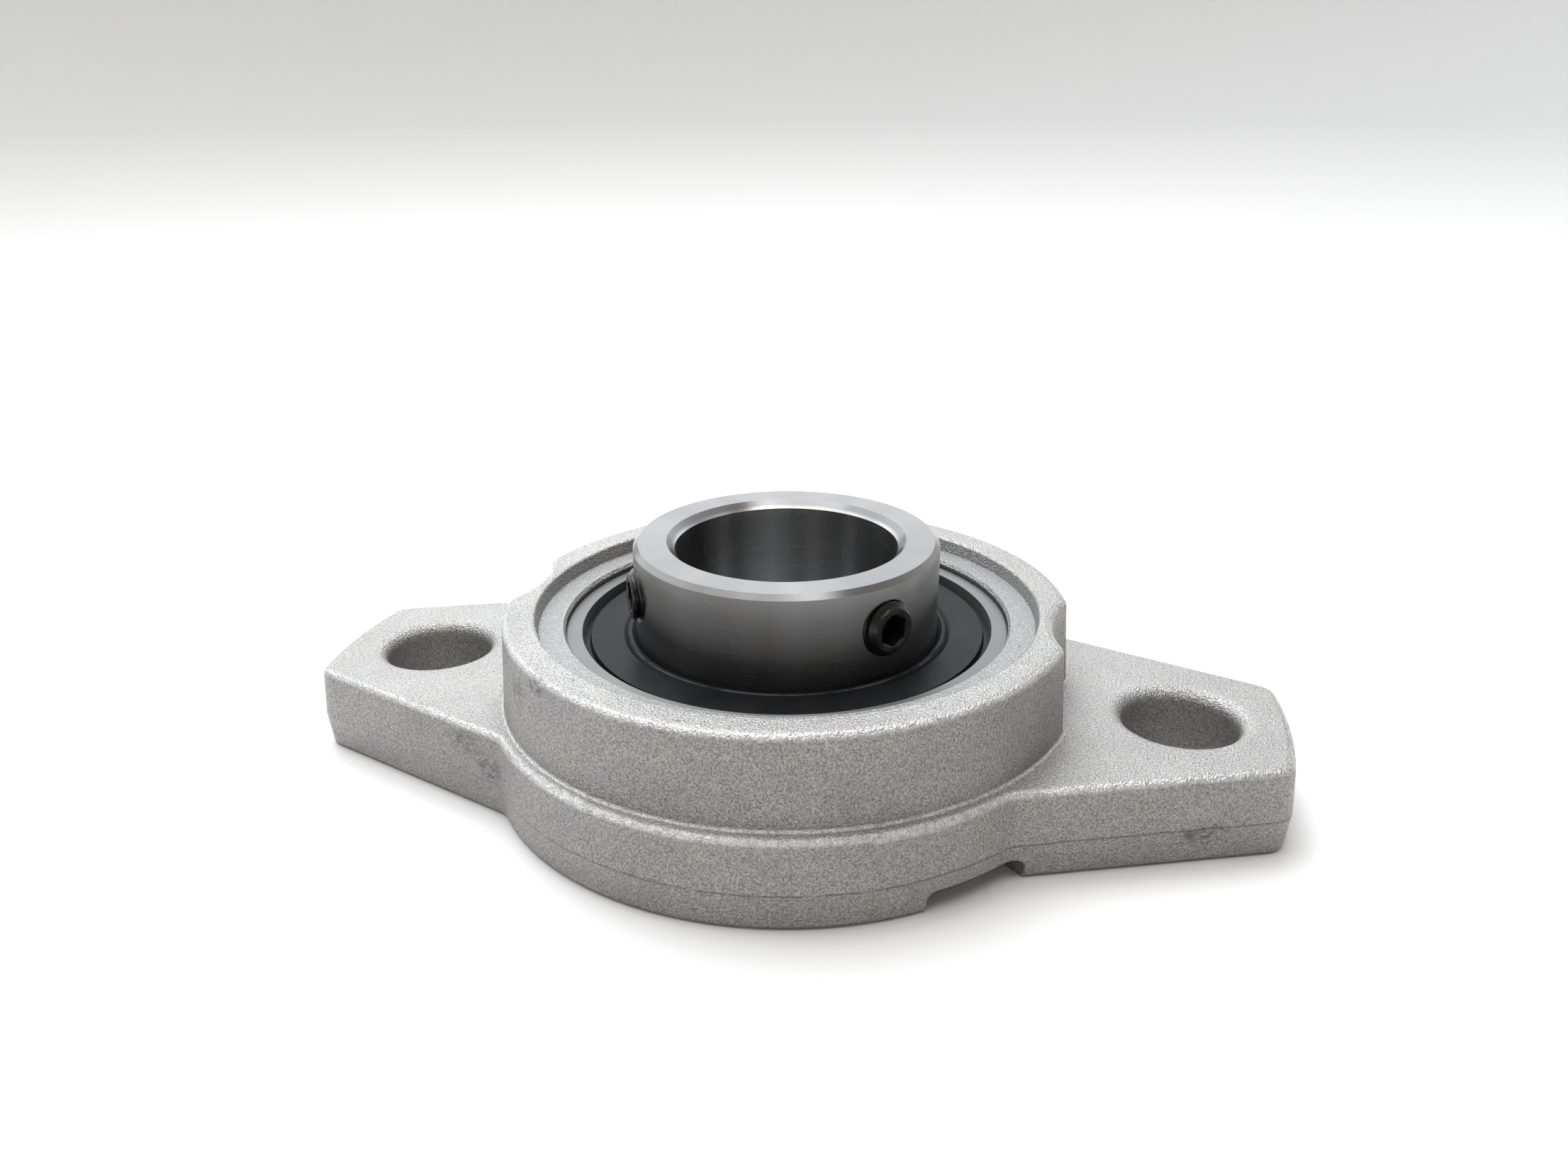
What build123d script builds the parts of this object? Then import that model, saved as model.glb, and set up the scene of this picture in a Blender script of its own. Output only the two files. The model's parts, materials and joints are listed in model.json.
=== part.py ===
"""A two-bolt flange mount bearing: an insert ball bearing that tilts in the round seat of a cast housing.

Millimetres. The origin is the centre of the mounting face. +Z runs along the shaft, towards
the front, and +X along the flange, towards a bolt hole.
"""

import os
from math import cos, hypot, radians, sin, tan

from build123d import *

os.makedirs("parts", exist_ok=True)

# Housing: the standard two-bolt flange size for a 20 mm shaft
bolt_spacing = 71.0
bolt_hole_radius = 5.0
bolt_hole_rounding = 1.3
flange_length = 90.0
flange_thickness = 8.0
foot_radius = 27.5
parting_height = 3.3
upper_draft = 4.0
lower_draft = 6.0
wing_half_width = 15.0
wing_width_at = 26.0
wing_taper = 21.2
tip_corner_radius = 2.5
junction_radius = 2.0
flange_rounding = 0.8
foot_rounding = 0.5
boss_height = 16.0
boss_foot_radius = 26.0
boss_inset = 0.5
boss_rounding = 0.7
boss_foot_rounding = 0.3
recess_rounding = 0.3
spanner_radius = 11.2
spanner_corner_radius = 1.5
recess_rim_radius = 22.7
recess_floor_radius = 22.4
recess_floor_height = 14.7
seat_clearance = 0.03
seat_mouth_chamfer = 0.3
slot_angle = -44.0
slot_clearance = 0.15
channel_width = 9.5
channel_height = 1.9
channel_rounding = 0.9

# Insert bearing: a 20 x 42 x 12 ball bearing, with a round outside and a long inner ring
centre_height = 8.0
sphere_radius = 21.0
outer_ring_width = 12.0
outer_land_radius = 17.4
outer_edge_rounding = 0.3
bore_radius = 10.0
inner_ring_radius = 13.7
inner_ring_back = 2.0
inner_ring_front = 22.0
bore_chamfer = 0.7
inner_edge_chamfer = 0.45
ball_count = 9
ball_radius = 3.175
ball_circle_radius = 15.5
ball_clearance = 0.05
groove_radius = 3.3

# Cage: two pressed half ribbons with a round pocket over each ball, riveted together between the balls
cage_inner_radius = 14.1
cage_outer_radius = 17.0
cage_sheet = 0.5
pocket_clearance = 0.2
rivet_radius = 0.5
rivet_head_radius = 0.9
rivet_head_height = 0.35

# Seals: rubber on a steel washer, held in a groove of the outer ring
seal_seat_radius = 18.6
seal_seat_depth = 1.8
seal_border_rise = 0.8
seal_web_rise = 1.3
seal_web_radius = 17.8
seal_web_slope = 0.15
seal_bead_radius = 14.4
seal_bead_width = 0.5
seal_bead_rise = 0.15
seal_lip_clearance = 0.05
washer_inner_radius = 14.9
washer_outer_radius = 17.2
washer_thickness = 0.3

# Set screws: M5, with a hexagon socket
screw_height = 17.9
screw_radius = 2.42
screw_hole_radius = 2.5
screw_length = 4.0
screw_face_chamfer = 0.5
screw_tip_chamfer = 0.4
screw_cup_radius = 1.2
screw_cup_depth = 0.8
screw_cup_taper = 45.0
socket_across_flats = 2.5
socket_depth = 2.3
screw_angle_and_reach = {"set_screw_right": (-39.5, 14.5), "set_screw_left": (-152.0, 14.3)}

# Sizes that follow
height_slack = 0.1
radius_slack = 0.01
overshoot = 1.0
bolt_points = [(-bolt_spacing / 2, 0), (bolt_spacing / 2, 0)]
front_face = centre_height + outer_ring_width / 2
seal_seat_height = front_face - seal_seat_depth
flange_top_band = (flange_thickness - height_slack, flange_thickness + height_slack)
recess_floor_band = (recess_floor_height - height_slack, recess_floor_height + height_slack)
outer_race_radius = ball_circle_radius + ball_radius + ball_clearance
inner_race_radius = ball_circle_radius - ball_radius - ball_clearance
pocket_radius = ball_radius + pocket_clearance
seal_border_height = seal_seat_height + seal_border_rise
seal_web_height = seal_seat_height + seal_web_rise
seal_lip_radius = inner_ring_radius + seal_lip_clearance
ball_pitch = 360 / ball_count
standing = (Align.CENTER, Align.CENTER, Align.MIN)
mid_plane = Plane.XY.offset(centre_height)


def write(part, name):
    """Label a finished piece and write it to its own file."""
    part.label = name
    export_step(part, f"parts/{name}.step")


def outwards(angle):
    """The level direction at this angle from +X."""
    return (cos(radians(angle)), sin(radians(angle)), 0)


def polar_plane(radius, angle, height):
    """A plane with +Z as its normal, whose origin is at this radius and angle about the shaft."""
    return Plane(origin=(radius * cos(radians(angle)), radius * sin(radians(angle)), height))


def screw_plane(angle):
    """A plane on the shaft axis whose normal points out along a set screw."""
    return Plane(origin=(0, 0, screw_height), x_dir=(0, 0, 1), z_dir=outwards(angle))


def wing_edge(x):
    """Half the flange's width at this distance from the middle, along the wings' straight sides."""
    return wing_half_width - (x - wing_width_at) * tan(radians(wing_taper))


# ---- Housing ----

with BuildPart() as housing:
    # Flange, widest at the mould's parting line, with two wings whose ends share one circle
    with BuildSketch(Plane.XY.offset(parting_height)) as outline:
        with BuildLine():
            beyond = flange_length / 2 + overshoot
            Polyline(
                (beyond, wing_edge(beyond)),
                (0, wing_edge(0)),
                (-beyond, wing_edge(beyond)),
                (-beyond, -wing_edge(beyond)),
                (0, -wing_edge(0)),
                (beyond, -wing_edge(beyond)),
                close=True,
            )
        make_face()
        Circle(flange_length / 2, mode=Mode.INTERSECT)
        fillet(outline.vertices().filter_by(lambda v: abs(v.X) > foot_radius), tip_corner_radius)
        Circle(foot_radius)
        junctions = outline.vertices().filter_by(lambda v: abs(hypot(v.X, v.Y) - foot_radius) < radius_slack)
        fillet(junctions, junction_radius)
    extrude(amount=flange_thickness - parting_height, taper=upper_draft)
    extrude(outline.sketch, amount=parting_height, dir=(0, 0, -1), taper=lower_draft)
    fillet(housing.edges().group_by(Axis.Z)[0], foot_rounding)
    fillet(housing.edges().group_by(Axis.Z)[-1], flange_rounding)

    # Boss, cut away round each bolt's head for a spanner, with draft all round
    for height, inset in ((flange_thickness, 0), (boss_height, boss_inset)):
        with BuildSketch(Plane.XY.offset(height)) as boss_outline:
            Circle(boss_foot_radius - inset)
            with Locations(*bolt_points):
                Circle(spanner_radius + inset, mode=Mode.SUBTRACT)
            corners = boss_outline.vertices().filter_by(lambda v: abs(v.Y) > spanner_corner_radius)
            fillet(corners, spanner_corner_radius)
    loft(ruled=True)
    fillet(housing.edges().group_by(Axis.Z)[-1], boss_rounding)
    flange_top = housing.faces().filter_by(GeomType.PLANE).filter_by_position(Axis.Z, *flange_top_band)
    fillet(flange_top.sort_by(SortBy.AREA)[-1].inner_wires().edges(), boss_foot_rounding)

    # Recess and the round seat that the insert tilts in
    with Locations((0, 0, recess_floor_height)):
        recess_depth = boss_height - recess_floor_height
        Cone(recess_floor_radius, recess_rim_radius, recess_depth, align=standing, mode=Mode.SUBTRACT)
    fillet(housing.edges().filter_by(GeomType.CIRCLE).group_by(Axis.Z)[-1], recess_rounding)
    with Locations((0, 0, centre_height)):
        Sphere(sphere_radius + seat_clearance, mode=Mode.SUBTRACT)
    mouth = housing.edges().filter_by(GeomType.CIRCLE).filter_by_position(Axis.Z, *recess_floor_band)
    chamfer(mouth.sort_by(SortBy.RADIUS)[0], seat_mouth_chamfer)

    # Bolt holes, with a soft lead-in
    with Locations(*bolt_points):
        Hole(bolt_hole_radius)
    rounds = housing.edges().filter_by(GeomType.CIRCLE)
    hole_rims = rounds.filter_by(lambda e: abs(e.radius - bolt_hole_radius) < radius_slack)
    fillet(hole_rims.group_by(Axis.Z)[-1], bolt_hole_rounding)

    # Slots at the back that let the insert in edge first, and a shallow channel across the same diameter
    with BuildSketch(Plane.XY) as slots:
        Rectangle(2 * foot_radius, outer_ring_width + 2 * slot_clearance, rotation=slot_angle)
        Circle(sphere_radius + slot_clearance, mode=Mode.INTERSECT)
    extrude(amount=centre_height, mode=Mode.SUBTRACT)
    along_channel = Plane(origin=(0, 0, 0), x_dir=outwards(slot_angle + 90), z_dir=outwards(slot_angle))
    with BuildSketch(along_channel) as channel:
        Rectangle(channel_width, 2 * channel_height)
        fillet(channel.vertices(), channel_rounding)
    extrude(amount=foot_radius + overshoot, both=True, mode=Mode.SUBTRACT)


# ---- Insert bearing ----

with BuildPart() as outer_ring:
    # A ring with a round outside, a ball groove and a stepped seat for a seal at each side
    with BuildSketch(Plane.XZ) as outer_profile:
        with Locations((0, centre_height)):
            Circle(sphere_radius)
        with Locations((outer_land_radius, centre_height)):
            Rectangle(sphere_radius, outer_ring_width, align=(Align.MIN, Align.CENTER), mode=Mode.INTERSECT)
        fillet(outer_profile.vertices().sort_by(Axis.X)[-2:], outer_edge_rounding)
        with Locations((outer_race_radius - groove_radius, centre_height)):
            Circle(groove_radius, mode=Mode.SUBTRACT)
        for side in (1, -1):
            with Locations((outer_land_radius, centre_height + side * outer_ring_width / 2)):
                Rectangle(2 * (seal_seat_radius - outer_land_radius), 2 * seal_seat_depth, mode=Mode.SUBTRACT)
    revolve(axis=Axis.Z)

with BuildPart() as inner_ring:
    # A sleeve with a ball groove, and two threaded holes through the part that stands out
    with BuildSketch(Plane.XZ) as inner_profile:
        with Locations((bore_radius, inner_ring_back)):
            Rectangle(
                inner_ring_radius - bore_radius,
                inner_ring_front - inner_ring_back,
                align=(Align.MIN, Align.MIN),
            )
        chamfer(inner_profile.vertices().group_by(Axis.X)[0], bore_chamfer)
        chamfer(inner_profile.vertices().group_by(Axis.X)[-1], inner_edge_chamfer)
        with Locations((inner_race_radius + groove_radius, centre_height)):
            Circle(groove_radius, mode=Mode.SUBTRACT)
    revolve(axis=Axis.Z)
    for angle, _ in screw_angle_and_reach.values():
        with BuildSketch(screw_plane(angle)):
            Circle(screw_hole_radius)
        extrude(amount=sphere_radius, mode=Mode.SUBTRACT)

write(housing.part, "housing")
write(outer_ring.part, "outer_ring")
write(inner_ring.part, "inner_ring")

# Balls, evenly spaced from the +X direction
for number in range(ball_count):
    with BuildPart(polar_plane(ball_circle_radius, number * ball_pitch, centre_height)) as ball:
        Sphere(ball_radius)
    write(ball.part, f"ball_{number + 1}")

with BuildPart(mid_plane) as cage_front:
    # Flat tabs between the balls, and a round pocket over the front half of each ball
    Cylinder(cage_outer_radius, cage_sheet, align=standing)
    with PolarLocations(ball_circle_radius, ball_count):
        Sphere(pocket_radius + cage_sheet)
    with BuildSketch(mid_plane):
        Circle(cage_outer_radius)
        Circle(cage_inner_radius, mode=Mode.SUBTRACT)
    extrude(amount=outer_ring_width, mode=Mode.INTERSECT)
    with PolarLocations(ball_circle_radius, ball_count):
        Sphere(pocket_radius, mode=Mode.SUBTRACT)
    with PolarLocations(ball_circle_radius, ball_count, start_angle=ball_pitch / 2):
        Hole(rivet_radius)

with BuildPart() as cage_back:
    mirror(cage_front.part, about=mid_plane)

write(cage_front.part, "cage_front")
write(cage_back.part, "cage_back")

for number in range(ball_count):
    with BuildPart(polar_plane(ball_circle_radius, (number + 0.5) * ball_pitch, centre_height)) as rivet:
        Cylinder(rivet_radius, 2 * cage_sheet)
        head_reach = cage_sheet + rivet_head_height / 2
        with Locations((0, 0, head_reach), (0, 0, -head_reach)):
            Cylinder(rivet_head_radius, rivet_head_height)
        ends = rivet.edges().group_by(Axis.Z)
        fillet(ends[0] + ends[-1], rivet_head_height / 2)
    write(rivet.part, f"rivet_{number + 1}")

with BuildPart() as front_seal:
    # Rubber: a foot on the seat's step, a sunk border, a flat web, a low bead and a lip at the inner ring
    with BuildSketch(Plane.XZ):
        with BuildLine():
            Polyline(
                (washer_outer_radius, seal_seat_height),
                (seal_seat_radius, seal_seat_height),
                (seal_seat_radius, seal_border_height),
                (seal_web_radius + seal_web_slope, seal_border_height),
                (seal_web_radius, seal_web_height),
                (seal_bead_radius + seal_bead_width, seal_web_height),
                (seal_bead_radius + seal_bead_width / 2, seal_web_height - seal_bead_rise),
                (seal_bead_radius, seal_web_height + seal_bead_rise),
                (seal_bead_radius - seal_bead_width / 2, seal_web_height + seal_bead_rise),
                (seal_lip_radius, seal_web_height - seal_bead_rise),
                (seal_lip_radius, seal_web_height - seal_bead_width),
                (washer_inner_radius - seal_bead_width / 2, seal_seat_height + seal_bead_rise),
                (washer_inner_radius, seal_seat_height),
                (washer_inner_radius, seal_seat_height + washer_thickness),
                (washer_outer_radius, seal_seat_height + washer_thickness),
                close=True,
            )
        make_face()
    revolve(axis=Axis.Z)

with BuildPart() as front_seal_washer:
    # Steel stiffener, bonded into the inner face of the rubber
    with BuildSketch(Plane.XY.offset(seal_seat_height)):
        Circle(washer_outer_radius)
        Circle(washer_inner_radius, mode=Mode.SUBTRACT)
    extrude(amount=washer_thickness)

with BuildPart() as rear_seal:
    mirror(front_seal.part, about=mid_plane)

with BuildPart() as rear_seal_washer:
    mirror(front_seal_washer.part, about=mid_plane)

write(front_seal.part, "front_seal")
write(front_seal_washer.part, "front_seal_washer")
write(rear_seal.part, "rear_seal")
write(rear_seal_washer.part, "rear_seal_washer")


# ---- Set screws ----

for name, (angle, reach) in screw_angle_and_reach.items():
    face_plane = screw_plane(angle).offset(reach)
    tip_plane = screw_plane(angle).offset(reach - screw_length)
    with BuildPart() as screw:
        with BuildSketch(tip_plane):
            Circle(screw_radius)
        extrude(amount=screw_length)
        ends = screw.edges().filter_by(GeomType.CIRCLE).sort_by_distance(face_plane.origin)
        chamfer(ends[0], screw_face_chamfer)
        chamfer(ends[-1], screw_tip_chamfer)
        with BuildSketch(face_plane):
            RegularPolygon(socket_across_flats / 2, 6, major_radius=False)
        extrude(amount=-socket_depth, mode=Mode.SUBTRACT)
        with BuildSketch(tip_plane):
            Circle(screw_cup_radius)
        extrude(amount=screw_cup_depth, taper=screw_cup_taper, mode=Mode.SUBTRACT)
    write(screw.part, name)
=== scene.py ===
import json
import math

import bmesh
import bpy
from mathutils import Matrix, Vector


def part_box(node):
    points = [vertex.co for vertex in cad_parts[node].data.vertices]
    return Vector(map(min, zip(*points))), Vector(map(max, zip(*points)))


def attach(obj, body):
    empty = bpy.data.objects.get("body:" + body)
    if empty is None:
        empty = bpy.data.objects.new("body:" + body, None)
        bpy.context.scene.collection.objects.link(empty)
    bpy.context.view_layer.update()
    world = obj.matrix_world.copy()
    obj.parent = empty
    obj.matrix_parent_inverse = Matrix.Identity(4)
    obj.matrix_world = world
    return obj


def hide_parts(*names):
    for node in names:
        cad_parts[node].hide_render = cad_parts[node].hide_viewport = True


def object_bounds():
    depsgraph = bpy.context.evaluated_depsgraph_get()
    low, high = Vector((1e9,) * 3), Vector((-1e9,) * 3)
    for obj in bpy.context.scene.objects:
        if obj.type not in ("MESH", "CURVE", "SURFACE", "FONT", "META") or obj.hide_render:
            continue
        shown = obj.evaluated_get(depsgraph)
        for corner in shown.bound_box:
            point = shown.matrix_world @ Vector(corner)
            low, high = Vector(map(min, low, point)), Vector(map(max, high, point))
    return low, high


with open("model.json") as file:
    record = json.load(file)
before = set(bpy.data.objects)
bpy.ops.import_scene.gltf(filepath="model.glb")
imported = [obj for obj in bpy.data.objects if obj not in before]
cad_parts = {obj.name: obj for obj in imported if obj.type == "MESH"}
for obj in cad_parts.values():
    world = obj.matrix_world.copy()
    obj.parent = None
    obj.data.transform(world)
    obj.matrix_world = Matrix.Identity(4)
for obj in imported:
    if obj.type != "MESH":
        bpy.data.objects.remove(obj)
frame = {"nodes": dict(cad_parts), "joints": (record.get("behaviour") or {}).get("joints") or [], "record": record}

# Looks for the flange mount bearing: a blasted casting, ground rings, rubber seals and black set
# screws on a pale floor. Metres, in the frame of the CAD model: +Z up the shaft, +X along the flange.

MM = 0.001
cad_low, cad_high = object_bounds()
middle = (cad_low + cad_high) / 2
mounts = {mount["name"]: mount["dims"] for mount in frame["record"]["mounts"]}
UP = Vector((0, 0, 1))

# Camera, in front of the flange, above it and a little to the right
VIEW_AZIMUTH = math.radians(13.02)
VIEW_ELEVATION = math.radians(22.43)
VIEW_ROLL = math.radians(-0.365)
AIM_HEIGHT = 17.04 * MM
AIM_SIDE = -0.245 * MM
AIM_DISTANCE = 114.78 * MM
FOCAL_LENGTH = 28.96
SENSOR_WIDTH = 36.0
NEAREST_SEEN = 5 * MM

# Floor, which curves up into a low wall all round
FLOOR_GAP = 0.02 * MM
FLOOR_RADIUS = 380 * MM
COVE_RADIUS = 150 * MM
COVE_LEAN = math.radians(70)
COVE_STEPS = 12
COVE_TURNS = 96
PAPER_DARK = (0.67, 0.67, 0.67, 1)
PAPER_LIGHT = (0.70, 0.70, 0.70, 1)
WALL_COLOUR = (0.54, 0.55, 0.55, 1)

# Light from the surroundings, and lamps: name, place from the object's middle, width, height and watts
SKY_BRIGHT_SIDE = Vector((-0.50, 0.65, 0.58))
SKY_BRIGHT = (2.10, 2.18, 2.26, 1)
SKY_DIM = (0.38, 0.33, 0.29, 1)
LAMPS = (
    ("behind", (-0.10, 0.16, 0.42), 0.30, 0.30, 1.7),
    ("overhead", (-0.02, -0.07, 0.45), 0.50, 0.18, 1.0),
)

# Set screws, M5 coarse, with a hexagon socket and a cup point
THREAD_PITCH = 0.8 * MM
THREAD_DEPTH = 0.42 * MM
THREAD_SEGMENTS = 96
THREAD_STEPS_PER_PITCH = 16
FLANK_STEEPNESS = 1.35
ROOT_SHARE = 0.15
SHARP_ANGLE = math.radians(28)
FACE_CHAMFER = 0.5 * MM
TIP_CHAMFER = 0.4 * MM
SOCKET_APOTHEM = 1.25 * MM
SOCKET_MOUTH = 1.48 * MM
SOCKET_CHAMFER = 0.10 * MM
SOCKET_DEPTH = 2.2 * MM
SOCKET_POINT = 0.4 * MM
CUP_RADIUS = 1.2 * MM
CUP_DEPTH = 0.7 * MM
CLOSED = 0.02

# Rings and seals
SEAT_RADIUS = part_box("outer_ring")[1].x
BORE_RADIUS = mounts["shaft_bore"]["r_mm"] * MM
LIP_RADIUS = 14.45 * MM

# Housing, with its handling marks: the middle of each, and its reach along each axis, in millimetres
BOLT_REACH = mounts["bolt_holes"]["spacing_x_mm"] / 2 * MM
BOLT_HOLE_RADIUS = mounts["bolt_holes"]["hole_r_mm"] * MM
PARTING_HEIGHT = 3.3 * MM
RECESS_RADIUS = 22.4 * MM
SCUFFS = (
    ((-25.6, -15.1, 6.2), (3.0, 2.0, 1.1)),
    ((-22.8, -16.2, 4.6), (2.2, 2.0, 1.3)),
    ((37.2, -10.7, 2.8), (3.0, 2.0, 1.3)),
    ((-19.0, -17.2, 13.2), (1.6, 1.8, 2.0)),
    ((-16.4, -20.0, 15.2), (2.2, 2.0, 1.0)),
)


# ---- Node helpers ----


def new_material(name, even):
    """A material with one Principled shader, whose even values sit on its own sockets."""
    material = bpy.data.materials.new(name)
    material.use_nodes = True
    shader = material.node_tree.nodes["Principled BSDF"]
    for socket, value in even.items():
        shader.inputs[socket].default_value = value
    return material


def add(tree, kind, inputs=None, **settings):
    """Add a node, set its properties, and link or set its inputs."""
    made = tree.nodes.new("ShaderNode" + kind)
    for key, value in settings.items():
        setattr(made, key, value)
    for socket, value in (inputs or {}).items():
        if isinstance(value, bpy.types.NodeSocket):
            tree.links.new(value, made.inputs[socket])
        else:
            made.inputs[socket].default_value = value
    return made


def feed(tree, socket, name):
    """Link an output to an input of the material's Principled shader."""
    tree.links.new(socket, tree.nodes["Principled BSDF"].inputs[name])


def place(tree):
    """Position on the object, in metres, which moves with the piece."""
    return add(tree, "TexCoord").outputs["Object"]


def rise(tree):
    """Height above the mounting face."""
    return add(tree, "SeparateXYZ", {0: place(tree)}).outputs[2]


def level(tree):
    """Position with its height taken out."""
    return add(tree, "VectorMath", {0: place(tree), 1: (1, 1, 0)}, operation="MULTIPLY").outputs[0]


def noise(tree, where, grain, detail=3.0, rough=0.55, stretch=(1, 1, 1)):
    """Noise whose lumps are about one grain across, stretched along each axis by these factors."""
    scaled = add(tree, "VectorMath", {0: where, 1: [1 / s for s in stretch]}, operation="MULTIPLY")
    inputs = {"Vector": scaled.outputs[0], "Scale": 1 / grain, "Detail": detail, "Roughness": rough}
    return add(tree, "TexNoise", inputs).outputs["Fac"]


def ramp(tree, value, low, high, to_low=0.0, to_high=1.0):
    """Map low..high to to_low..to_high, and hold it there outside."""
    inputs = {"Value": value, "From Min": low, "From Max": high, "To Min": to_low, "To Max": to_high}
    return add(tree, "MapRange", inputs, clamp=True).outputs["Result"]


def maths(tree, operation, a, b=0.0):
    """One step of arithmetic."""
    return add(tree, "Math", {0: a, 1: b}, operation=operation).outputs[0]


def times(tree, a, b):
    """The product of two numbers."""
    return maths(tree, "MULTIPLY", a, b)


def mix(tree, amount, a, b):
    """Blend two colours."""
    made = add(tree, "Mix", data_type="RGBA")
    for socket, value in ((made.inputs[0], amount), (made.inputs[6], a), (made.inputs[7], b)):
        if isinstance(value, bpy.types.NodeSocket):
            tree.links.new(value, socket)
        else:
            socket.default_value = value
    return made.outputs[2]


def bump(tree, height, depth, normal=None, invert=False):
    """A bump whose full height stands for this depth in metres, or a dent where it is inverted."""
    inputs = {"Height": height, "Distance": depth, "Strength": 1.0}
    if normal is not None:
        inputs["Normal"] = normal
    return add(tree, "Bump", inputs, invert=invert).outputs["Normal"]


def grey(value, warmth=0.0):
    """A grey, made warmer or cooler."""
    return (value * (1 + warmth), value, value * (1 - 1.4 * warmth), 1)


def shaft_radius(tree):
    """Distance from the shaft's axis."""
    return add(tree, "VectorMath", {0: level(tree)}, operation="LENGTH").outputs["Value"]


def lathe(tree, reach, across):
    """Coordinates on a small circle round the shaft, so a grain is drawn out along the turning marks."""
    spoke = add(tree, "VectorMath", {0: level(tree)}, operation="NORMALIZE").outputs[0]
    circle = add(tree, "VectorMath", {0: spoke, 1: (reach, reach, 0)}, operation="MULTIPLY").outputs[0]
    step = add(tree, "CombineXYZ", {2: across}).outputs[0]
    return add(tree, "VectorMath", {0: circle, 1: step}, operation="ADD").outputs[0]


# ---- Materials ----


def outside(tree):
    """1 on the outer sides of the housing, 0 in its bolt holes and its seat."""
    x, y, z = add(tree, "SeparateXYZ", {0: place(tree)}).outputs
    along = maths(tree, "SUBTRACT", maths(tree, "ABSOLUTE", x), BOLT_REACH)
    across = times(tree, y, y)
    from_bolt = maths(tree, "SQRT", maths(tree, "ADD", times(tree, along, along), across))
    from_shaft = maths(tree, "SQRT", maths(tree, "ADD", times(tree, x, x), across))
    clear_of_bolt = maths(tree, "GREATER_THAN", from_bolt, BOLT_HOLE_RADIUS * 1.3)
    clear_of_seat = maths(tree, "GREATER_THAN", from_shaft, SEAT_RADIUS * 1.1)
    return times(tree, clear_of_bolt, clear_of_seat)


def scuff(tree, where, spot, reach):
    """Small dark dents that crowd round one spot, within this reach along each axis."""
    centre = [v * MM for v in spot]
    share = [1 / (v * MM) for v in reach]
    away = add(tree, "VectorMath", {0: where, 1: centre}, operation="SUBTRACT").outputs[0]
    away = add(tree, "VectorMath", {0: away, 1: share}, operation="MULTIPLY").outputs[0]
    near = ramp(tree, add(tree, "VectorMath", {0: away}, operation="LENGTH").outputs["Value"], 0.5, 1, 1, 0)
    rubs = noise(tree, where, 0.45 * MM, 3.0, 0.65, (1.8, 1.8, 1))
    return times(tree, ramp(tree, rubs, 0.43, 0.61), near)


def parting_line(tree, where):
    """A thin broken line round the outside at the parting height, fainter on the left wing."""
    side, _, height = add(tree, "SeparateXYZ", {0: where}).outputs
    wander = ramp(tree, noise(tree, where, 2.5 * MM, 2.0), 0.3, 0.7, -0.05 * MM, 0.05 * MM)
    above = maths(tree, "SUBTRACT", height, maths(tree, "ADD", wander, PARTING_HEIGHT))
    line = ramp(tree, maths(tree, "ABSOLUTE", above), 0.04 * MM, 0.11 * MM, 1, 0)
    broken = ramp(tree, noise(tree, where, 1.6 * MM, 3.0, 0.7), 0.28, 0.5)
    line = times(tree, line, times(tree, broken, outside(tree)))
    return times(tree, line, ramp(tree, side, -30 * MM, -12 * MM, 0.3, 1))


def worn_and_highlit_edges(tree, coarse):
    """Patchy wear and a painted highlight on the rounded upper edges, with hardly any round the bolt holes."""
    slant = add(tree, "SeparateXYZ", {0: add(tree, "TexCoord").outputs["Normal"]}).outputs[2]
    rounded = times(tree, ramp(tree, slant, 0.2, 0.5), ramp(tree, slant, 0.85, 0.97, 1, 0))
    wear_and_highlight = times(tree, rounded, ramp(tree, coarse, 0.35, 0.55, 0.4, 1))
    return times(tree, wear_and_highlight, ramp(tree, outside(tree), 0, 1, 0.15, 1))


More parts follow.
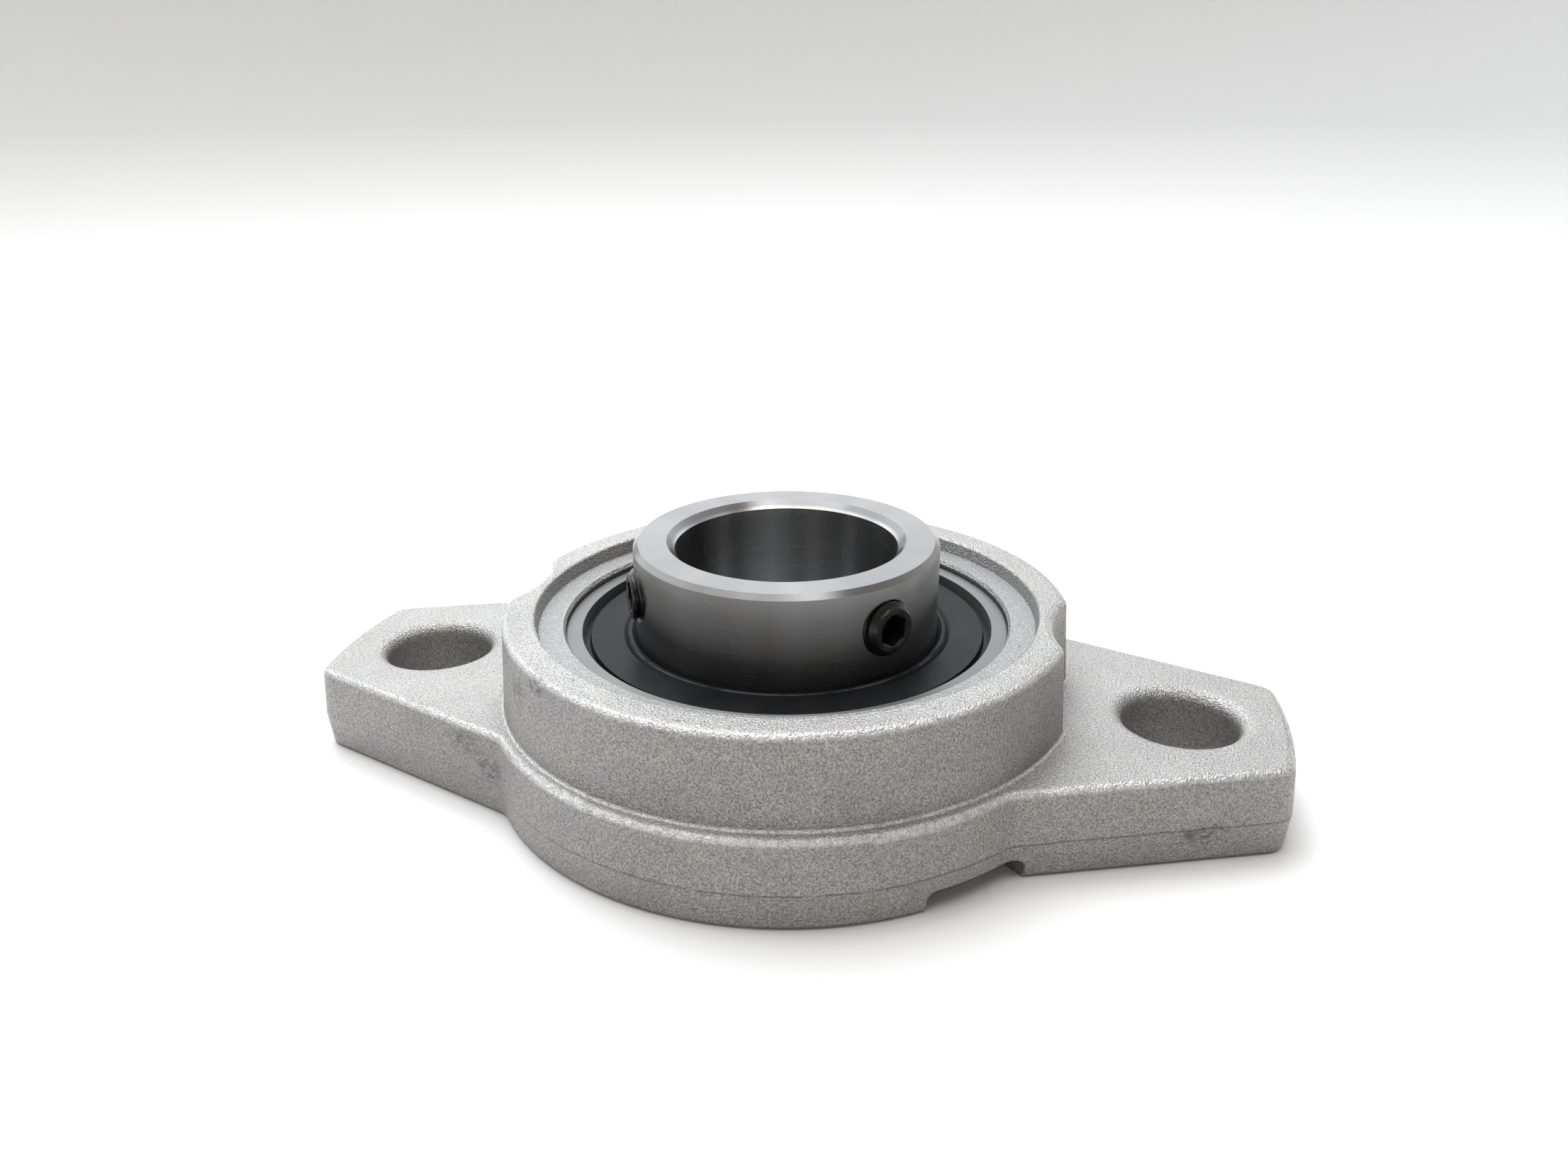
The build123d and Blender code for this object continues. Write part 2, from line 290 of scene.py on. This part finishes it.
def cast_metal():
    """Blasted casting: sparkling grain, cloudy tone, parting line, pits, scuffs and a darker recess."""
    material = new_material("cast_metal", {"Metallic": 1.0})
    tree = material.node_tree
    where = place(tree)
    fine = noise(tree, where, 0.17 * MM, 2.0, 0.6)
    coarse = noise(tree, where, 0.5 * MM, 2.0, 0.5)
    clouds = noise(tree, where, 9 * MM, 3.0, 0.55)
    tint = noise(tree, where, 4 * MM, 2.0, 0.5)
    pits = ramp(tree, noise(tree, where, 1.1 * MM, 3.0, 0.6), 0.72, 0.78)

    tone = mix(tree, ramp(tree, clouds, 0.3, 0.7), grey(0.37, 0.014), grey(0.45, 0.008))
    tone = mix(tree, ramp(tree, tint, 0.50, 0.68, 0, 0.7), tone, (0.43, 0.425, 0.375, 1))
    tone = mix(tree, ramp(tree, tint, 0.32, 0.48, 0.6, 0), tone, (0.41, 0.385, 0.395, 1))
    tone = mix(tree, ramp(tree, fine, 0.35, 0.65, 0.75, 0), tone, grey(0.14, 0.02))
    tone = mix(tree, times(tree, pits, 0.6), tone, grey(0.12))
    scuffs = 0.0
    for spot, reach in SCUFFS:
        scuffs = maths(tree, "MAXIMUM", scuff(tree, where, spot, reach), scuffs)
    tone = mix(tree, times(tree, scuffs, 0.7), tone, grey(0.10))
    line = parting_line(tree, where)
    tone = mix(tree, times(tree, line, 0.65), tone, grey(0.13, 0.03))
    wear_and_highlight = worn_and_highlit_edges(tree, coarse)
    # Wear and painted highlight: the rounded upper edges are made lighter.
    tone = mix(tree, times(tree, wear_and_highlight, 0.7), tone, grey(0.60, 0.005))
    # Darker inside the recess radius.
    turned = ramp(tree, shaft_radius(tree), RECESS_RADIUS, RECESS_RADIUS * 1.005, 1, 0)
    tone = mix(tree, times(tree, turned, 0.7), tone, grey(0.25, -0.005))
    feed(tree, tone, "Base Color")

    rough = ramp(tree, fine, 0.3, 0.7, 0.55, 0.36)
    feed(tree, maths(tree, "SUBTRACT", rough, times(tree, wear_and_highlight, 0.08)), "Roughness")
    normal = bump(tree, coarse, 0.03 * MM)
    normal = bump(tree, fine, 0.17 * MM, normal)
    dents = maths(tree, "ADD", scuffs, maths(tree, "ADD", pits, line))
    feed(tree, bump(tree, dents, 0.06 * MM, normal, invert=True), "Normal")
    return material


def turned_steel(name, tone, warmth, rough, marks, painted_bore_lift=0.0):
    """Turned steel: marks that run round the shaft, a highlight drawn out across them, painted reflection bands, a
    painted warm reflection and a bore brightened with painted light.
    """
    material = new_material(name, {"Metallic": 1.0, "Anisotropic": 0.7, "Anisotropic Rotation": 0.25})
    tree = material.node_tree
    radius = shaft_radius(tree)
    marked = lathe(tree, 0.25 * MM, maths(tree, "ADD", rise(tree), radius))
    fine = noise(tree, marked, 0.08 * MM, 3.0, 0.6)
    broad = noise(tree, marked, 0.5 * MM, 2.0, 0.5)
    # Painted reflection: soft light bands that change only round the shaft, so they run up and down.
    painted_reflection_bands = noise(tree, lathe(tree, BORE_RADIUS, 0.0), 4 * MM, 1.0, 0.5)
    # Painted warm reflection, in soft patches.
    painted_warm_reflection = noise(tree, place(tree), 6 * MM, 3.0, 0.55)
    streaks = maths(tree, "ADD", times(tree, fine, 0.7), times(tree, broad, 0.3))
    dark = grey(tone * (1 - marks), warmth)
    light = grey(tone * (1 + marks), warmth)
    colour = mix(tree, ramp(tree, streaks, 0.35, 0.65), dark, light)
    colour = mix(tree, ramp(tree, painted_warm_reflection, 0.48, 0.62, 0, 0.5), colour, grey(tone * 0.92, 0.07))
    colour = mix(tree, ramp(tree, painted_reflection_bands, 0.35, 0.65, 0, 0.5), colour, grey(tone * 1.4, warmth))
    # Painted light: the bore is brightened, with the painted reflection bands across it.
    painted_bore_light = ramp(tree, radius, BORE_RADIUS * 1.01, BORE_RADIUS * 1.03, painted_bore_lift, 0)
    bore = mix(tree, ramp(tree, painted_reflection_bands, 0.35, 0.65), grey(tone * 1.3, -0.01), grey(tone * 2.8, -0.01))
    feed(tree, mix(tree, painted_bore_light, colour, bore), "Base Color")
    feed(tree, ramp(tree, streaks, 0.3, 0.7, rough - 0.02, rough + 0.03), "Roughness")
    feed(tree, bump(tree, fine, 0.0002 * MM), "Normal")
    feed(tree, add(tree, "Tangent", direction_type="RADIAL", axis="Z").outputs[0], "Tangent")
    return material


def seal_rubber():
    """Moulded rubber: nearly black, faintly ringed, with dust, dull patches and a painted highlight along its lip.
    """
    material = new_material("seal_rubber", {"Specular IOR Level": 0.065})
    tree = material.node_tree
    radius = shaft_radius(tree)
    rings = noise(tree, lathe(tree, 2 * MM, radius), 0.18 * MM, 2.0, 0.5)
    skin = noise(tree, place(tree), 0.12 * MM, 2.0, 0.5)
    patches = noise(tree, place(tree), 3 * MM, 3.0, 0.6)
    dust = ramp(tree, noise(tree, place(tree), 0.3 * MM, 2.0, 0.5), 0.72, 0.78)
    colour = mix(tree, ramp(tree, patches, 0.35, 0.7), (0.007, 0.008, 0.010, 1), (0.012, 0.013, 0.016, 1))
    colour = mix(tree, times(tree, dust, 0.3), colour, grey(0.12))
    from_lip = maths(tree, "ABSOLUTE", maths(tree, "SUBTRACT", radius, LIP_RADIUS))
    # Painted highlight: a thin, broken light line along the lip.
    painted_lip_highlight = ramp(tree, from_lip, 0.01 * MM, 0.06 * MM, 1, 0)
    painted_lip_highlight = times(tree, painted_lip_highlight, ramp(tree, patches, 0.40, 0.55, 0.2, 1))
    colour = mix(tree, painted_lip_highlight, colour, grey(0.09))
    feed(tree, colour, "Base Color")
    feed(tree, ramp(tree, patches, 0.3, 0.7, 0.34, 0.46), "Roughness")
    normal = bump(tree, rings, 0.012 * MM)
    feed(tree, bump(tree, skin, 0.006 * MM, normal), "Normal")
    return material


def black_oxide():
    """Blackened steel: dark, slightly oily, rubbed to grey in specks."""
    material = new_material("black_oxide", {"Metallic": 0.4, "Specular IOR Level": 0.5})
    tree = material.node_tree
    where = place(tree)
    film = noise(tree, where, 0.5 * MM, 3.0, 0.6)
    rubbed = ramp(tree, noise(tree, where, 0.16 * MM, 3.0, 0.7), 0.62, 0.72)
    colour = mix(tree, ramp(tree, film, 0.3, 0.7), grey(0.011), grey(0.016))
    colour = mix(tree, times(tree, rubbed, 0.25), colour, grey(0.07))
    feed(tree, colour, "Base Color")
    feed(tree, ramp(tree, film, 0.3, 0.7, 0.20, 0.26), "Roughness")
    feed(tree, bump(tree, film, 0.002 * MM), "Normal")
    return material


def hidden_steel(name, tone, rough, grain):
    """Sheet or ball steel for the pieces inside: a soft grain and cloudy tone."""
    material = new_material(name, {"Metallic": 1.0})
    tree = material.node_tree
    where = place(tree)
    clouds = noise(tree, where, 2 * MM, 3.0, 0.55)
    speck = noise(tree, where, grain, 3.0, 0.6)
    colour = mix(tree, ramp(tree, clouds, 0.3, 0.7), grey(tone * 0.88, 0.01), grey(tone, 0.01))
    feed(tree, colour, "Base Color")
    feed(tree, ramp(tree, speck, 0.3, 0.7, rough, rough + 0.08), "Roughness")
    feed(tree, bump(tree, speck, 0.003 * MM), "Normal")
    return material


def pale_floor():
    """Matt pale paper, barely uneven, a little darker where it rises into the wall."""
    material = new_material("pale_floor", {"Specular IOR Level": 0.25})
    tree = material.node_tree
    clouds = noise(tree, place(tree), 30 * MM, 3.0, 0.5)
    paper = mix(tree, clouds, PAPER_DARK, PAPER_LIGHT)
    wall = ramp(tree, rise(tree), 2 * MM, 40 * MM)
    feed(tree, mix(tree, wall, paper, WALL_COLOUR), "Base Color")
    feed(tree, ramp(tree, clouds, 0.3, 0.7, 0.6, 0.7), "Roughness")
    return material


# ---- Objects ----


def smooth_object(name, mesh):
    """An object from a finished mesh, shaded smooth."""
    bmesh.ops.recalc_face_normals(mesh, faces=mesh.faces)
    data = bpy.data.meshes.new(name)
    mesh.to_mesh(data)
    mesh.free()
    for face in data.polygons:
        face.use_smooth = True
    made = bpy.data.objects.new(name, data)
    bpy.context.scene.collection.objects.link(made)
    return made


def dress(piece, material):
    """Give a piece one material."""
    piece.data.materials.clear()
    piece.data.materials.append(material)


# ---- Set screws ----


def hexagon(angle):
    """Distance from the socket's axis to its wall, as a share of the apothem."""
    sixth = math.pi / 3
    return 1 / math.cos((angle + sixth / 2) % sixth - sixth / 2)


def thread_radius(angle, along, crest):
    """Radius of the screw's thread: rounded crests and roots that climb one pitch a turn."""
    phase = (along / THREAD_PITCH - angle / (2 * math.pi)) % 1
    flank = min(1, max(0, abs(2 * phase - 1) * FLANK_STEEPNESS - ROOT_SHARE))
    return crest - THREAD_DEPTH * (1 - flank * flank * (3 - 2 * flank))


def turn(i):
    """Angle of one of the points round the screw."""
    return 2 * math.pi * i / THREAD_SEGMENTS


def screw_rows(length, crest):
    """The screw's rings of points, each a radius and a distance from the tip: cup, thread, socket."""
    steps = round(length / THREAD_PITCH * THREAD_STEPS_PER_PITCH)

    def side(step):
        along = length * step / steps
        limit = min(crest - TIP_CHAMFER + along, crest - FACE_CHAMFER + length - along)
        return [(min(limit, thread_radius(turn(i), along, crest)), along) for i in range(THREAD_SEGMENTS)]

    def ring(radius, along):
        return [(radius, along)] * THREAD_SEGMENTS

    def socket(along):
        return [(SOCKET_APOTHEM * hexagon(turn(i)), along) for i in range(THREAD_SEGMENTS)]

    rows = [ring(CUP_RADIUS * CLOSED, CUP_DEPTH), ring(CUP_RADIUS, 0)]
    rows += [side(step) for step in range(steps + 1)]
    rows += [ring(SOCKET_MOUTH, length), socket(length - SOCKET_CHAMFER), socket(length - SOCKET_DEPTH)]
    rows += [ring(SOCKET_APOTHEM * CLOSED, length - SOCKET_DEPTH - SOCKET_POINT)]
    return rows


def set_screw(name, outwards):
    """A socket set screw with a helical thread, in the place of its CAD node."""
    depths = [vertex.co.dot(outwards) for vertex in frame["nodes"][name].data.vertices]
    low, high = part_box(name)
    tip = min(depths)
    across = UP.cross(outwards)
    origin = outwards * tip + Vector((0, 0, (low.z + high.z) / 2))
    mesh = bmesh.new()
    made = []
    for row in screw_rows(max(depths) - tip, (high.z - low.z) / 2):
        line = []
        for i, (radius, along) in enumerate(row):
            spoke = across * math.cos(turn(i)) + UP * math.sin(turn(i))
            line.append(mesh.verts.new(origin + spoke * radius + outwards * along))
        made.append(line)
    for near, far in zip(made, made[1:]):
        for i in range(THREAD_SEGMENTS):
            j = (i + 1) % THREAD_SEGMENTS
            mesh.faces.new((near[i], near[j], far[j], far[i]))
    mesh.faces.new(reversed(made[0]))
    mesh.faces.new(made[-1])
    screw = smooth_object(name + "_threaded", mesh)
    screw.data.set_sharp_from_angle(angle=SHARP_ANGLE)
    return screw


# ---- Dress the model ----

materials = {
    "housing": cast_metal(),
    "outer_ring": turned_steel("ground_ring", 0.15, 0.01, 0.40, 0.03),
    "inner_ring": turned_steel("satin_ring", 0.19, 0.0, 0.25, 0.08, 0.8),
    "balls": hidden_steel("polished_balls", 0.75, 0.06, 0.5 * MM),
    "cage": hidden_steel("pressed_cage", 0.50, 0.30, 0.3 * MM),
    "rivets": hidden_steel("rivet_steel", 0.52, 0.28, 0.2 * MM),
    "seal_rubber": seal_rubber(),
    "seal_washer": hidden_steel("washer_sheet", 0.45, 0.34, 0.3 * MM),
    "set_screws": black_oxide(),
}

for part in frame["record"]["subparts"]:
    dress(frame["nodes"][part["node"]], materials[part["material_slot"]])

for joint in frame["joints"]:
    body = joint["child"]
    if body.startswith("set_screw"):
        screw = set_screw(body, Vector(joint["axis"]).normalized())
        dress(screw, materials["set_screws"])
        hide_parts(body)
        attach(screw, body)


# ---- Floor, light and camera ----


def add_floor():
    """A wide pale floor just under the mounting face, which curves up into a low wall all round."""
    profile = [(0, 0), (FLOOR_RADIUS, 0)]
    for step in range(1, COVE_STEPS + 1):
        lean = COVE_LEAN * step / COVE_STEPS
        profile.append((FLOOR_RADIUS + COVE_RADIUS * math.sin(lean), COVE_RADIUS * (1 - math.cos(lean))))
    mesh = bmesh.new()
    centre = Vector((middle.x, middle.y, cad_low.z - FLOOR_GAP))
    spokes = [mesh.verts.new(centre + Vector((radius, 0, lift))) for radius, lift in profile]
    edges = [mesh.edges.new(pair) for pair in zip(spokes, spokes[1:])]
    profile_geometry = spokes + edges
    bmesh.ops.spin(mesh, geom=profile_geometry, cent=centre, axis=UP, angle=2 * math.pi, steps=COVE_TURNS)
    bmesh.ops.remove_doubles(mesh, verts=mesh.verts, dist=0.1 * MM)
    floor = smooth_object("floor", mesh)
    dress(floor, pale_floor())


def add_lamp(name, spot, width, height, watts):
    """A soft rectangular lamp, turned to the middle of the object."""
    data = bpy.data.lights.new(name, "AREA")
    data.shape = "RECTANGLE"
    data.size = width
    data.size_y = height
    data.energy = watts
    lamp = bpy.data.objects.new(name, data)
    lamp.location = middle + Vector(spot)
    lamp.rotation_euler = (middle - lamp.location).to_track_quat("-Z", "Y").to_euler()
    bpy.context.scene.collection.objects.link(lamp)


def add_world():
    """Pale surroundings, brightest behind and to the left of the object."""
    world = bpy.data.worlds.new("studio")
    world.use_nodes = True
    tree = world.node_tree
    inputs = {0: add(tree, "TexCoord").outputs["Generated"], 1: SKY_BRIGHT_SIDE.normalized()}
    towards = add(tree, "VectorMath", inputs, operation="DOT_PRODUCT")
    sky = mix(tree, ramp(tree, towards.outputs["Value"], 0.1, 0.9), SKY_DIM, SKY_BRIGHT)
    tree.links.new(sky, tree.nodes["Background"].inputs["Color"])
    bpy.context.scene.world = world


def add_camera():
    """The camera, at the angle from which the object is shown."""
    data = bpy.data.cameras.new("camera")
    data.sensor_width = SENSOR_WIDTH
    data.lens = FOCAL_LENGTH
    data.clip_start = NEAREST_SEEN
    camera = bpy.data.objects.new("camera", data)
    back = Vector((
        math.sin(VIEW_AZIMUTH) * math.cos(VIEW_ELEVATION),
        -math.cos(VIEW_AZIMUTH) * math.cos(VIEW_ELEVATION),
        math.sin(VIEW_ELEVATION),
    ))
    camera.location = Vector((AIM_SIDE, 0, AIM_HEIGHT)) + back * AIM_DISTANCE
    upright = (-back).to_track_quat("-Z", "Y").to_matrix()
    camera.rotation_euler = (upright @ Matrix.Rotation(VIEW_ROLL, 3, "Z")).to_euler()
    bpy.context.scene.collection.objects.link(camera)
    bpy.context.scene.camera = camera


add_floor()
add_world()
for lamp in LAMPS:
    add_lamp(*lamp)
add_camera()
bpy.context.scene.view_settings.view_transform = "Standard"
